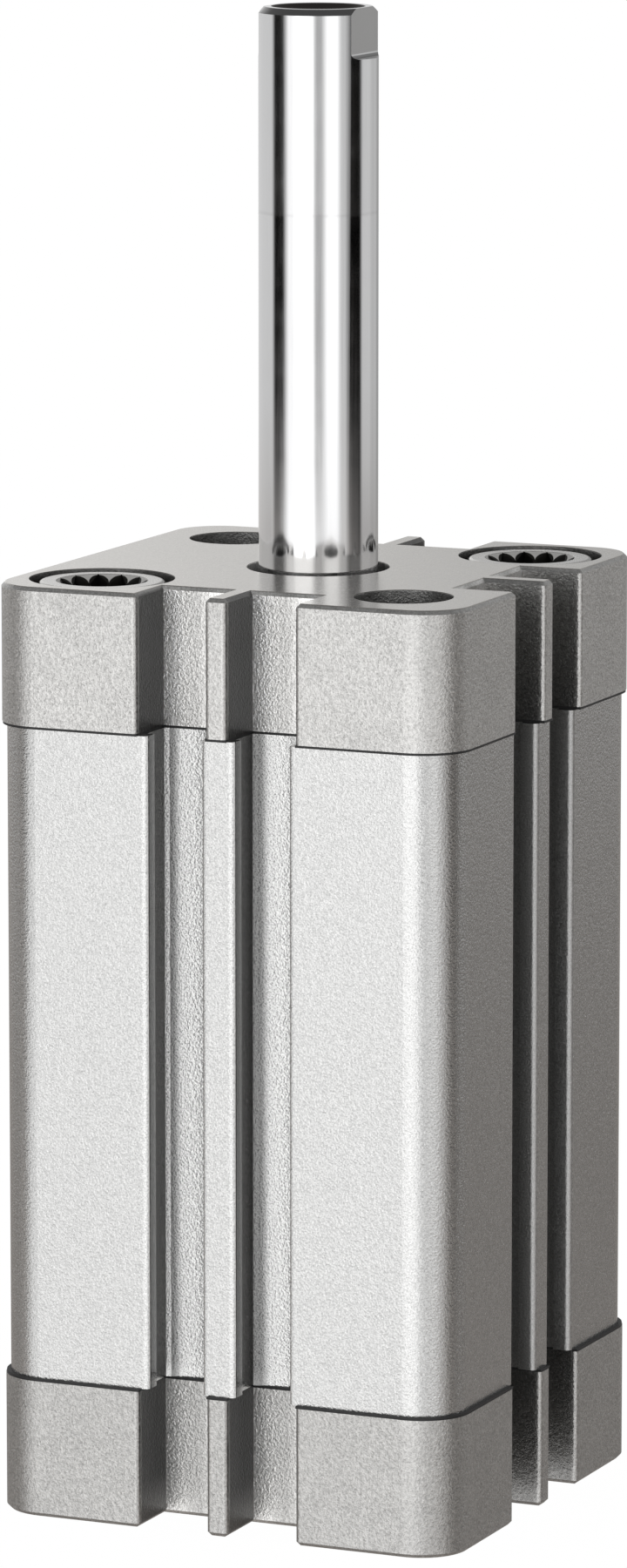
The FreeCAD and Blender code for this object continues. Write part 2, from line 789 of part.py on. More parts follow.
def make_piston_seal(doc, label, height, flipped):
    """Build a piston lip seal whose lips open towards the pressure side, here upward."""
    seal = add_body(doc, label, height, flipped)
    inner = f"{PISTON_GROOVE_RADIUS} + running_clearance"
    outer = f"{BORE_RADIUS} - running_clearance"
    base = "running_clearance"
    top = "piston_groove_height - running_clearance"
    section = [
        (inner, base),
        (f"{outer} - seal_lip_width / 2", base),
        (outer, top),
        (f"{outer} - seal_lip_width", top),
        (f"({inner} + {outer}) / 2", "piston_groove_height / 2"),
        (f"{inner} + seal_lip_width", top),
        (inner, top),
    ]
    revolve(seal, "section", section)
    return seal


def make_rod_oring(doc):
    """Build the ring that seals the piston against the rod's shoulder."""
    oring = doc.addObject("Part::Torus", "piston_rod_oring")
    oring.Label = "piston_rod_oring"
    oring.setExpression("Radius1", bind(f"{SPIGOT_RADIUS} + oring_section / 2 + seat_clearance"))
    oring.setExpression("Radius2", bind("oring_section / 2"))
    oring.setExpression("Placement.Base.z", bind(f"{PISTON_FRONT_Z} - oring_section / 2"))
    return oring


def make_piston_nut(doc):
    """Build the hexagon nut that clamps the piston on the rod."""
    nut = add_body(doc, "piston_nut", f"({PISTON_REAR_Z} + nut_recess_depth - nut_height)")
    corner = "nut_width / sqrt(3)"
    half_side = "nut_width / sqrt(12)"
    half_width = "nut_width / 2"
    hexagon = [
        (corner, "0"),
        (half_side, half_width),
        (f"-{half_side}", half_width),
        (f"-{corner}", "0"),
        (f"-{half_side}", f"-{half_width}"),
        (half_side, f"-{half_width}"),
    ]
    outline = add_sketch(nut, "outline")
    draw_outline(outline, hexagon)
    pad(nut, outline, "nut_height")
    bore = add_sketch(nut, "bore")
    draw_circle(bore, "0", "0", f"2 * ({SPIGOT_RADIUS} + seat_clearance)")
    pocket(nut, bore)
    return nut


def build_housing(doc):
    """Build every piece that stays still."""
    front_head_z = f"({BEARING_CAP_OUTER_Z} - screw_head_recess)"
    return [
        make_barrel(doc),
        make_end_cap(doc),
        make_bearing_cap(doc),
        make_gasket(doc, "rear_gasket", REAR_GASKET_Z),
        make_gasket(doc, "front_gasket", FRONT_GASKET_Z),
        make_cap_screws(doc, "rear_cap_screws", "screw_head_recess", False),
        make_cap_screws(doc, "front_cap_screws", front_head_z, True),
        make_bumper(doc, "rear_bumper", "(cap_height - bumper_seat_depth)", False),
        make_bumper(doc, "front_bumper", f"({BEARING_CAP_INNER_Z} + bumper_seat_depth)", True),
        make_rod_bush(doc),
        make_rod_seal(doc),
        make_rod_wiper(doc),
    ]


def build_piston(doc):
    """Build the rod and everything that travels with it."""
    front_seal_z = f"({PISTON_FRONT_Z} - piston_groove_edge - piston_groove_height)"
    rear_seal_z = f"({PISTON_REAR_Z} + piston_groove_edge + piston_groove_height)"
    return [
        make_piston_rod(doc),
        make_front_disc(doc),
        make_rear_disc(doc),
        make_magnet(doc),
        make_guide_ring(doc),
        make_piston_seal(doc, "front_piston_seal", front_seal_z, False),
        make_piston_seal(doc, "rear_piston_seal", rear_seal_z, True),
        make_rod_oring(doc),
        make_piston_nut(doc),
    ]


def check_document(doc, nodes):
    """Raise an error if any object failed or any sub-part has no sound solid."""
    for item in doc.Objects:
        if "Invalid" in item.State or "Error" in item.State:
            raise RuntimeError(f"{item.Name} failed: {item.State}")
    for node in nodes:
        shape = node.Shape
        if shape.isNull() or not shape.isValid() or not shape.Solids:
            raise RuntimeError(f"{node.Label} has no sound solid")


def main():
    """Build the cylinder and write one file for each sub-part."""
    doc = FreeCAD.newDocument("compact_cylinder")
    add_sheet(doc)
    nodes = build_housing(doc) + build_piston(doc)
    doc.recompute()
    check_document(doc, nodes)
    os.makedirs("parts", exist_ok=True)
    for node in nodes:
        node.Shape.exportStep(f"parts/{node.Label}.step")
        print(f"{node.Label}: {len(node.Shape.Solids)} solids, {node.Shape.Volume:.1f} mm3")


main()
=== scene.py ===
"""Looks of a compact pneumatic cylinder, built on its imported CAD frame.

The frame's nodes keep their shapes and get procedural finishes. Screw threads are modelled here as
helical ridges on the plain bores of the frame. Every size is in metres.
"""

import json
import logging
import math
from dataclasses import dataclass
from enum import Enum
from typing import Any, Dict, List, Optional, Sequence, Tuple, Union

import bmesh
import bpy
from mathutils import Matrix, Vector

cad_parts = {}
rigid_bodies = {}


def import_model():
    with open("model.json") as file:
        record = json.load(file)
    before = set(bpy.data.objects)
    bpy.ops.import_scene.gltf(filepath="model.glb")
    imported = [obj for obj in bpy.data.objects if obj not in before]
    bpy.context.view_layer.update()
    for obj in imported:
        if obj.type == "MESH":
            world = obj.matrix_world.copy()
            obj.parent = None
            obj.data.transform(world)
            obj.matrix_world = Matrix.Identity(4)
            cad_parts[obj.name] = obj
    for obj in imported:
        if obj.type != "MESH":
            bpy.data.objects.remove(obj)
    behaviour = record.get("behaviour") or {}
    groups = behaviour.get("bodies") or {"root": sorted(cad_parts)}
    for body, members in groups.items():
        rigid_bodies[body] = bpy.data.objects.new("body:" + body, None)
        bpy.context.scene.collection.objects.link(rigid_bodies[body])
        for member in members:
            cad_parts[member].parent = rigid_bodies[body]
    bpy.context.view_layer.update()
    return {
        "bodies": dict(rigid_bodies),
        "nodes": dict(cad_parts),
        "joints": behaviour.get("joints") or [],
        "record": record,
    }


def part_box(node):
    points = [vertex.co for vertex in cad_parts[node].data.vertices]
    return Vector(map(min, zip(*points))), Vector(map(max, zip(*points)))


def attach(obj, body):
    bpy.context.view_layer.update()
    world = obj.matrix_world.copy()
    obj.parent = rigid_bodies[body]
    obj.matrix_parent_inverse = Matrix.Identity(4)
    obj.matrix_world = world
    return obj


LOG = logging.getLogger("compact_cylinder")

MM = 0.001

Colour = Tuple[float, float, float]
Stretch = Tuple[float, float, float]
Stop = Tuple[float, float]
Span = Tuple[float, float]

# Depths over which the mask of a channel rises, and how softly it ends sideways
CHANNEL_MOUTH: Span = (0.15 * MM, 0.9 * MM)
CHANNEL_BLUR = 0.3 * MM
# Distances from the wall of a bore over which its mask rises
BORE_WALL: Span = (-0.06 * MM, 0.02 * MM)


class Body(Enum):
    """The bodies of the frame that threads ride on."""

    HOUSING = "housing"
    ROD = "rod"


class Slot(Enum):
    """The record's finishes that threads are cut in."""

    CAST_CAP = "cast_cap"
    CHROMED_ROD = "chromed_rod"
    SCREW_STEEL = "screw_steel"


class Signal:
    """One output of a node tree; Python operators on it add Math nodes."""

    def __init__(self, graph: "Graph", socket: bpy.types.NodeSocket) -> None:
        """Wrap a socket of a graph."""
        self.graph = graph
        self.socket = socket

    def math(self, operation: str, *operands: "Number", clamp: bool = False) -> "Signal":
        """Add a Math node.

        Args:
            operation: Blender's name of the operation.
            operands: all the operands in order, of which this signal is one.
            clamp: whether the result is kept between 0 and 1.

        Returns:
            The node's result.
        """
        settings = {"operation": operation, "use_clamp": clamp}
        node = self.graph.add("ShaderNodeMath", settings, dict(enumerate(operands)))
        return Signal(self.graph, node.outputs[0])

    def __add__(self, other: "Number") -> "Signal":
        """Return self + other."""
        return self.math("ADD", self, other)

    def __radd__(self, other: "Number") -> "Signal":
        """Return other + self."""
        return self.math("ADD", other, self)

    def __sub__(self, other: "Number") -> "Signal":
        """Return self - other."""
        return self.math("SUBTRACT", self, other)

    def __rsub__(self, other: "Number") -> "Signal":
        """Return other - self."""
        return self.math("SUBTRACT", other, self)

    def __mul__(self, other: "Number") -> "Signal":
        """Return self * other."""
        return self.math("MULTIPLY", self, other)

    def __rmul__(self, other: "Number") -> "Signal":
        """Return other * self."""
        return self.math("MULTIPLY", other, self)

    def __truediv__(self, other: "Number") -> "Signal":
        """Return self / other."""
        return self.math("DIVIDE", self, other)

    def __abs__(self) -> "Signal":
        """Return the size of the signal without its sign."""
        return self.math("ABSOLUTE", self)

    def above(self, other: "Number") -> "Signal":
        """Return 1 where the signal is greater than other, and 0 elsewhere."""
        return self.math("GREATER_THAN", self, other)

    def least(self, other: "Number") -> "Signal":
        """Return the smaller of the two."""
        return self.math("MINIMUM", self, other)

    def most(self, other: "Number") -> "Signal":
        """Return the larger of the two."""
        return self.math("MAXIMUM", self, other)

    def root(self) -> "Signal":
        """Return the square root."""
        return self.math("SQRT", self)

    def cosine(self) -> "Signal":
        """Return the cosine."""
        return self.math("COSINE", self)

    def bearing(self, other: "Number") -> "Signal":
        """Return the angle of a point whose Y is this signal and whose X is other."""
        return self.math("ARCTAN2", self, other)

    def clamped(self) -> "Signal":
        """Return the signal kept between 0 and 1."""
        return self.math("ADD", self, 0.0, clamp=True)

    def step(self, low: float, high: float) -> "Signal":
        """Return a smooth rise from 0 at low to 1 at high, or a fall where high is the lower one."""
        share = self.math("MULTIPLY", self - low, 1.0 / (high - low), clamp=True)
        return share * share * (3.0 - 2.0 * share)

    def swing(self, width: float) -> "Signal":
        """Return how far a noise is from its middle level, times a width."""
        return (self - 0.5) * width

    def between(self, first: float, second: float) -> "Signal":
        """Return a number that goes from first to second as the signal goes from 0 to 1."""
        return first + (second - first) * self


Number = Union[float, Signal]
Tint = Union[Colour, Signal]


@dataclass(frozen=True)
class Channels:
    """Where a point lies in the channels that are sunk into the four upright faces.

    front, front_walls, side_walls and floors are masks, of which front holds the front and the back. depth
    is measured from the outer face, and across from the middle of that face.
    """

    front: Signal
    front_walls: Signal
    side_walls: Signal
    floors: Signal
    depth: Signal
    across: Signal


class Graph:
    """A node tree under construction."""

    def __init__(self, tree: bpy.types.NodeTree) -> None:
        """Start an empty tree."""
        self.tree = tree
        tree.nodes.clear()

    def add(
        self,
        kind: str,
        settings: Optional[Dict[str, Any]] = None,
        inputs: Optional[Dict[Union[int, str], Any]] = None,
    ) -> bpy.types.Node:
        """Add one node.

        Args:
            kind: the node's type.
            settings: properties that are set first; stops are pairs of place and grey level.
            inputs: values or signals for its sockets, by name or number.

        Returns:
            The new node.
        """
        node = self.tree.nodes.new(kind)
        for name, value in (settings or {}).items():
            if name == "stops":
                self._set_stops(node.color_ramp, value)
            else:
                setattr(node, name, value)
        for key, value in (inputs or {}).items():
            if isinstance(value, Signal):
                self.tree.links.new(value.socket, node.inputs[key])
            else:
                node.inputs[key].default_value = value
        return node

    @staticmethod
    def _set_stops(ramp: bpy.types.ColorRamp, stops: Sequence[Stop]) -> None:
        """Give a colour ramp its grey stops.

        Args:
            ramp: the ramp of a new node.
            stops: pairs of place and grey level, in order.
        """
        ramp.interpolation = "EASE"
        while len(ramp.elements) < len(stops):
            ramp.elements.new(1.0)
        for element, (place, level) in zip(ramp.elements, stops):
            element.position = place
            element.color = (level, level, level, 1.0)

    def signal(
        self,
        kind: str,
        output: Union[int, str] = 0,
        settings: Optional[Dict[str, Any]] = None,
        inputs: Optional[Dict[Union[int, str], Any]] = None,
    ) -> Signal:
        """Add one node and return one of its outputs."""
        return Signal(self, self.add(kind, settings, inputs).outputs[output])

    def place(self) -> Signal:
        """Return the point of the surface in the object's own metres."""
        return self.signal("ShaderNodeTexCoord", "Object")

    def facing(self) -> Signal:
        """Return the direction that the surface faces, in the object's own axes."""
        return self.signal("ShaderNodeTexCoord", "Normal")

    def axes(self, vector: Signal) -> Tuple[Signal, Signal, Signal]:
        """Return the X, Y and Z of a vector."""
        node = self.add("ShaderNodeSeparateXYZ", None, {0: vector})
        return Signal(self, node.outputs[0]), Signal(self, node.outputs[1]), Signal(self, node.outputs[2])

    def channels(self, half_width: float, reach: float) -> Channels:
        """Find the channels that are sunk into the four upright faces.

        Args:
            half_width: the distance of those faces from the middle.
            reach: how far the channels reach to each side of the middle of their face.

        Returns:
            The masks of the channels and the place in them.
        """
        east, north, _ = (abs(axis) for axis in self.axes(self.place()))
        facing_east, facing_north, _ = (abs(axis) for axis in self.axes(self.facing()))
        depth, across = half_width - east.most(north), east.least(north)
        front = north.above(east)
        sunk = depth.step(*CHANNEL_MOUTH) * across.step(reach + CHANNEL_BLUR, reach)
        sunk_front = sunk * front
        sunk_side = sunk - sunk_front
        floors = sunk_front * facing_north + sunk_side * facing_east
        return Channels(front, sunk_front * facing_east, sunk_side * facing_north, floors, depth, across)

    def crisp(self, share: Signal, pull: float) -> Signal:
        """Return the normal pulled towards the front or back, so that rounded edges there look crisper.

        Args:
            share: where the normal is pulled, from 0 to 1.
            pull: how much of the way that the surface faces is added along Y.

        Returns:
            The pulled normal.
        """
        factors = self.signal("ShaderNodeCombineXYZ", 0, None, {0: 1.0, 1: 1.0 + pull * share, 2: 1.0})
        multiply = {"operation": "MULTIPLY"}
        pulled = self.signal("ShaderNodeVectorMath", 0, multiply, {0: self.facing(), 1: factors})
        return self.signal("ShaderNodeVectorMath", 0, {"operation": "NORMALIZE"}, {0: pulled})

    def corner_bores(self, offset: float, free_radius: float, screw_radius: float) -> Tuple[Signal, Signal]:
        """Return masks of the corner holes.

        Args:
            offset: the holes' distance from the middle along X and Y.
            free_radius: the radius of the holes without screws.
            screw_radius: the radius of the holes with screws.

        Returns:
            The holes without screws, and those with screws.
        """
        east, north, _ = self.axes(self.place())
        with_screw = (east * north).above(0.0)
        aside, along = abs(east) - offset, abs(north) - offset
        distance = (aside * aside + along * along).root()
        free, screwed = ((radius - distance).step(*BORE_WALL) for radius in (free_radius, screw_radius))
        return free * (1.0 - with_screw), screwed * with_screw

    def noise(
        self,
        vector: Signal,
        grain: float,
        detail: float = 2.0,
        stretch: Stretch = (1.0, 1.0, 1.0),
    ) -> Signal:
        """Return noise from 0 to 1.

        Args:
            vector: where the noise is read.
            grain: the width of one grain, in metres.
            detail: how many finer layers it has.
            stretch: how much longer the grains are along each axis.

        Returns:
            The noise's level.
        """
        scale = tuple(1.0 / (grain * length) for length in stretch)
        multiply = {"operation": "MULTIPLY"}
        scaled = self.signal("ShaderNodeVectorMath", 0, multiply, {0: vector, 1: scale})
        return self.signal("ShaderNodeTexNoise", 0, None, {"Vector": scaled, "Scale": 1.0, "Detail": detail})

    def blend(self, share: Number, first: Tint, second: Tint) -> Signal:
        """Mix two colours.

        Args:
            share: how much of the second colour there is, from 0 to 1.
            first: a plain colour or a signal.
            second: a plain colour or a signal.

        Returns:
            The mixed colour.
        """
        ends = [tint if isinstance(tint, Signal) else (*tint, 1.0) for tint in (first, second)]
        inputs = {"Factor": share, 6: ends[0], 7: ends[1]}
        return self.signal("ShaderNodeMix", 2, {"data_type": "RGBA"}, inputs)

    def mottled(self, colour: Colour, level: Signal, contrast: float) -> Signal:
        """Return a colour that is darker and paler by a contrast, as a level goes from 0 to 1."""
        return self.blend(level, greyed(colour, 1.0 - contrast), greyed(colour, 1.0 + contrast))

    def tinted(self, colour: Tint, level: Signal) -> Signal:
        """Return a colour times a level."""
        inputs = {0: colour, "Scale": level}
        return self.signal("ShaderNodeVectorMath", 0, {"operation": "SCALE"}, inputs)

    def shaded(self, colour: Tint, share: Number) -> Signal:
        """Return a colour darkened by a share, where 1 is black."""
        return self.blend(share, colour, (0.0, 0.0, 0.0))

    def bump(self, height: Signal, depth: float, normal: Optional[Signal] = None) -> Signal:
        """Tilt a normal by a height from 0 to 1.

        Args:
            height: the relief.
            depth: how deep the relief is, in metres.
            normal: the normal that is tilted, or none for the surface's own.

        Returns:
            The tilted normal.
        """
        inputs = {"Height": height, "Distance": depth, "Strength": 1.0}
        if normal is not None:
            inputs["Normal"] = normal
        return self.signal("ShaderNodeBump", 0, None, inputs)


def make_material(name: str) -> Tuple[bpy.types.Material, Graph]:
    """Start a material.

    Args:
        name: the material's name.

    Returns:
        The new material and its empty graph.
    """
    material = bpy.data.materials.new(name)
    material.use_nodes = True
    return material, Graph(material.node_tree)


def close_surface(graph: Graph, inputs: Dict[Union[int, str], Any]) -> None:
    """End a material's graph in one principled shader."""
    shader = graph.signal("ShaderNodeBsdfPrincipled", 0, None, inputs)
    graph.add("ShaderNodeOutputMaterial", None, {"Surface": shader})


def greyed(colour: Colour, share: float) -> Colour:
    """Return a colour times a share."""
    return tuple(level * share for level in colour)


@dataclass(frozen=True)
class BlastedCasting:
    """Blasted die casting with milled outer faces.

    low_face and high_face are the heights of the caps' milled faces. Painted light lifts the floors of the
    channels above the rest by nook_gain beside the walls and by floor_gain in the middle. Painted shade
    darkens the walls of the front and back channels by mouth_shade at the outer face and by deep_shade from
    deep_start inwards, and foot_painted_light takes some of that painted shade away at the foot, as painted
    light from below. Painted shade darkens the walls of the side channels by side_wall_shade at the milled
    faces, and by inner_shade more beside the barrel, and the corner holes by hole_shade and
    counterbore_shade.
    """

    name: str
    low_face: float
    high_face: float
    tint: Colour = (0.544, 0.539, 0.528)
    contrast: float = 0.9
    grain: float = 0.3 * MM
    grain_weight: float = 0.9
    speck: float = 0.15 * MM
    speck_weight: float = 0.7
    patch: float = 6.0 * MM
    patch_weight: float = 0.2
    relief_depth: float = 0.06 * MM
    grain_relief: float = 0.7
    speck_relief: float = 0.3
    roughness: float = 0.38
    roughness_swing: float = 0.2
    face_tint: Colour = (0.595, 0.575, 0.543)
    face_contrast: float = 0.15
    face_roughness: float = 0.24
    face_reach: float = 0.05 * MM
    face_smoothing: float = 0.9
    half_width: float = 25.0 * MM
    cap_height: float = 13.9 * MM
    channel_reach: float = 8.5 * MM
    channel_middle: float = 4.8 * MM
    floor_half: float = 2.5 * MM
    # painted light on the floors of the channels
    floor_gain: float = 1.17
    nook_gain: float = 1.8
    # painted shade on the walls of the front and back channels
    mouth_shade: float = 0.88
    deep_shade: float = 0.95
    deep_start: float = 4.515 * MM
    # painted light at the foot, which takes some painted shade off the walls
    foot_reach: float = 5.0 * MM
    foot_painted_light: float = 0.3
    # painted shade on the walls of the side channels
    side_wall_shade: float = 0.36
    inner_shade: float = 0.28
    hole_offset: float = 16.25 * MM
    free_hole_radius: float = 4.9 * MM
    # painted shade in the corner holes
    hole_shade: float = 0.45
    counterbore_radius: float = 7.25 * MM
    counterbore_shade: float = 0.65

    def material(self) -> bpy.types.Material:
        """Build the casting's material.

        Returns:
            The finished material.
        """
        material, graph = make_material(self.name)
        place = graph.place()
        height = graph.axes(place)[2]
        near_high = height.step(self.high_face - 2 * self.face_reach, self.high_face - self.face_reach)
        near_low = height.step(self.low_face + 2 * self.face_reach, self.low_face + self.face_reach)
        milled = (near_high + near_low).clamped()
        grain = graph.noise(place, self.grain)
        specks = graph.noise(place, self.speck)
        patches = graph.noise(place, self.patch)
        blasted = self.grain_relief * grain + self.speck_relief * specks
        relief = blasted * (1.0 - self.face_smoothing * milled)
        fine = grain.swing(self.grain_weight) + specks.swing(self.speck_weight)
        level = fine + patches.swing(self.patch_weight)
        channels = graph.channels(self.half_width, self.channel_reach)
        # painted light: the floors of the channels are lifted, most beside the walls
        middle = abs(channels.across - self.channel_middle).step(self.floor_half, 0.0)
        paler = middle.between(self.nook_gain - 1.0, self.floor_gain - 1.0)
        cast_level = (1.0 + self.contrast * level) * (1.0 + paler * channels.floors)
        face = graph.mottled(self.face_tint, grain, self.face_contrast)
        radii = (self.free_hole_radius, self.counterbore_radius)
        holes, counterbores = graph.corner_bores(self.hole_offset, *radii)
        # painted shade on the walls of the channels and in the corner holes
        inward = (height - self.low_face).least(self.high_face - height) / self.cap_height
        deep = channels.depth.step(0.0, self.deep_start)
        # painted light at the foot takes some of the painted shade off the walls
        foot = height.step(self.low_face + self.foot_reach, self.low_face)
        front_shade = deep.between(self.mouth_shade, self.deep_shade) * (1.0 - self.foot_painted_light * foot)
        side_shade = self.side_wall_shade + self.inner_shade * inward
        walls = (channels.front_walls * front_shade).most(channels.side_walls * side_shade)
        shade = walls.most(holes * self.hole_shade).most(counterbores * self.counterbore_shade)
        cast = graph.tinted(self.tint, cast_level)
        smoother = (self.roughness - self.face_roughness) * milled
        close_surface(
            graph,
            {
                "Base Color": graph.shaded(graph.blend(milled, cast, face), shade),
                "Metallic": 1.0,
                "Roughness": self.roughness + specks.swing(self.roughness_swing) - smoother,
                "Normal": graph.bump(relief, self.relief_depth),
            },
        )
        return material


@dataclass(frozen=True)
class SatinAnodising:
    """Satin anodised extrusion with a fine even grain.

    The floors of the slots carry painted shade, by floor_shade and by nook_shade beside their walls, apart
    from the ledge along the outer one, and painted light lifts them by floor_gain in the middle. The walls of
    the front and back slots carry painted shade, by mouth_shade at the outer face and by deep_shade at the
    floor, and edge_pull makes their rounded edges crisper. The walls of the side slots are duller, and carry
    painted shade, by
    side_edge_shade at the outer face and by side_deep_shade inwards. A span is where a mask begins and where
    it is full:
    ledge_span across the face, nook_span and middle_span from the middle of a slot, mouth_span, deep_span
    and side_span into the depth, and side_turn in how far the surface is turned to the front or back.
    """

    tint: Colour = (0.525, 0.525, 0.52)
    contrast: float = 0.8
    grain: float = 0.22 * MM
    grain_weight: float = 0.8
    grain_depth: float = 0.035 * MM
    speck: float = 0.11 * MM
    speck_weight: float = 0.8
    draw_stretch: Stretch = (1.0, 1.0, 120.0)
    draw_weight: float = 0.06
    roughness: float = 0.24
    roughness_swing: float = 0.12
    half_width: float = 24.55 * MM
    slot_reach: float = 8.5 * MM
    slot_middle: float = 4.78 * MM
    ledge_span: Span = (7.84 * MM, 7.94 * MM)
    # painted shade and painted light on the floors of the slots
    nook_span: Span = (1.8 * MM, 2.9 * MM)
    nook_shade: float = 0.66
    middle_span: Span = (1.9 * MM, 0.1 * MM)
    floor_gain: float = 1.2
    floor_shade: float = 0.08
    # painted shade on the walls of the front and back slots
    mouth_span: Span = (2.0 * MM, 0.6 * MM)
    mouth_shade: float = 0.5
    deep_span: Span = (4.2 * MM, 6.4 * MM)
    deep_shade: float = 0.5
    edge_reach: float = 10.0 * MM
    edge_depth: float = 1.0 * MM
    edge_blur: float = 0.1 * MM
    edge_pull: float = 1.5
    side_turn: Span = (0.1, 0.5)
    # painted shade on the walls of the side slots
    side_span: Span = (0.4 * MM, 1.6 * MM)
    side_roughness: float = 0.42
    side_edge_shade: float = 0.12
    side_deep_shade: float = 0.26

    def material(self) -> bpy.types.Material:
        """Build the barrel's material.

        Returns:
            The finished material.
        """
        material, graph = make_material("satin_anodising")
        place = graph.place()
        grain = graph.noise(place, self.grain)
        specks = graph.noise(place, self.speck)
        draw_lines = graph.noise(place, self.grain, stretch=self.draw_stretch)
        fine = grain.swing(self.grain_weight) + specks.swing(self.speck_weight)
        level = fine + draw_lines.swing(self.draw_weight)
        channels = graph.channels(self.half_width, self.slot_reach)
        # painted shade on the floors of the slots, except on the outer ledge
        ledge = channels.across.step(*self.ledge_span)
        off_middle = abs(channels.across - self.slot_middle)
        nook = off_middle.step(*self.nook_span) * (1.0 - ledge)
        middle = off_middle.step(*self.middle_span)
        # painted shade on the walls of the front and back slots
        mouth = channels.depth.step(*self.mouth_span)
        deep = channels.depth.step(*self.deep_span)
        walls = channels.front_walls * (self.mouth_shade * mouth + self.deep_shade * deep)
        floors = channels.floors * nook.between(self.floor_shade, self.nook_shade)
        # painted shade on the walls of the side slots
        near_slot = channels.across.step(self.edge_reach + self.edge_blur, self.edge_reach)
        turned_north = abs(graph.axes(graph.facing())[1])
        side = (1.0 - channels.front) * near_slot * turned_north.step(*self.side_turn)
        outer = channels.depth.step(self.edge_depth + self.edge_blur, self.edge_depth)
        inward = channels.depth.step(*self.side_span)
        side_shade = inward.between(self.side_edge_shade, self.side_deep_shade)
        shade = floors.most(walls).most(side * side_shade)
        # painted light: the floors of the slots are lifted in the middle
        paler = 1.0 + (self.floor_gain - 1.0) * channels.floors * middle
        anodised = graph.tinted(self.tint, (1.0 + self.contrast * level) * paler)
        normal = graph.crisp(channels.front * outer * near_slot, self.edge_pull)
        duller = (self.side_roughness - self.roughness) * side
        close_surface(
            graph,
            {
                "Base Color": graph.shaded(anodised, shade),
                "Metallic": 1.0,
                "Roughness": self.roughness + grain.swing(self.roughness_swing) + duller,
                "Normal": graph.bump(grain, self.grain_depth, normal),
            },
        )
        return material


@dataclass(frozen=True)
class PolishedChrome:
    """Hard chrome with faint polishing lines, milled flats and a cut thread in its end, in a bore painted
    near-black as painted shade.

    bore_radius is the radius inside which the rod is bare steel painted near-black, as painted shade in its
    bore, flat_start the height above which its two sides are milled flat, and ring_height that of the faint
    ring above which the polish is duller. A flat is told by flat_turn, which is how far it is turned
    sideways. The chamfer is told by slope_rise and slope_fall, which are how far it is turned up, and
    slope_shade darkens it as a painted dark reflection.
    """

    bore_radius: float
    flat_start: float
    ring_height: float
    tint: Colour = (0.72, 0.72, 0.725)
    contrast: float = 0.05
    line: float = 0.12 * MM
    line_stretch: Stretch = (1.0, 1.0, 60.0)
    line_depth: float = 0.0012 * MM
    line_roughness: float = 0.05
    haze: float = 3.6 * MM
    haze_roughness: float = 0.06
    roughness: float = 0.085
    dull_gain: float = 0.03
    ring_half: float = 0.3 * MM
    ring_shade: float = 0.14
    flat_tint: Colour = (0.49, 0.49, 0.488)
    flat_roughness: float = 0.3
    flat_turn: Span = (0.985, 0.995)
    flat_blur: float = 0.05 * MM
    # painted dark reflection on the chamfer
    slope_rise: Span = (0.25, 0.45)
    slope_fall: Span = (0.95, 0.85)
    slope_shade: float = 0.72
    # painted shade in the bore
    bore_shade_tint: Colour = (0.07, 0.064, 0.06)
    bore_blur: float = 0.1 * MM
    bore_dullness: float = 0.4

    def material(self) -> bpy.types.Material:
        """Build the rod's material.

        Returns:
            The finished material.
        """
        material, graph = make_material("polished_chrome")
        place = graph.place()
        east, north, up = graph.axes(place)
        distance = (east * east + north * north).root()
        # painted shade: the bore is near-black inside bore_radius
        inside = distance.step(self.bore_radius, self.bore_radius - self.bore_blur)
        turned_east, _, turned_up = graph.axes(graph.facing())
        # painted dark reflection on the chamfer and on other surfaces turned as far up
        sloping = turned_up.step(*self.slope_rise) * turned_up.step(*self.slope_fall)
        above_start = up.step(self.flat_start - self.flat_blur, self.flat_start + self.flat_blur)
        flats = abs(turned_east).step(*self.flat_turn) * above_start
        lines = graph.noise(place, self.line, stretch=self.line_stretch)
        haze = graph.noise(place, self.haze)
        plated = graph.mottled(self.tint, lines, self.contrast)
        ring = abs(up - self.ring_height).step(self.ring_half, 0.0)
        dull = up.step(self.ring_height - self.ring_half, self.ring_height)
        shade = (ring * self.ring_shade * lines).most(sloping * self.slope_shade)
        chrome = graph.shaded(graph.blend(flats, plated, self.flat_tint), shade)
        rough = (
            self.roughness
            + self.dull_gain * dull
            + haze.swing(self.haze_roughness)
            + lines.swing(self.line_roughness)
            + (self.flat_roughness - self.roughness) * flats
            + self.bore_dullness * inside
        )
        close_surface(
            graph,
            {
                "Base Color": graph.blend(inside, chrome, self.bore_shade_tint),
                "Metallic": 1.0,
                "Roughness": rough,
                "Normal": graph.bump(lines, self.line_depth),
            },
        )
        return material


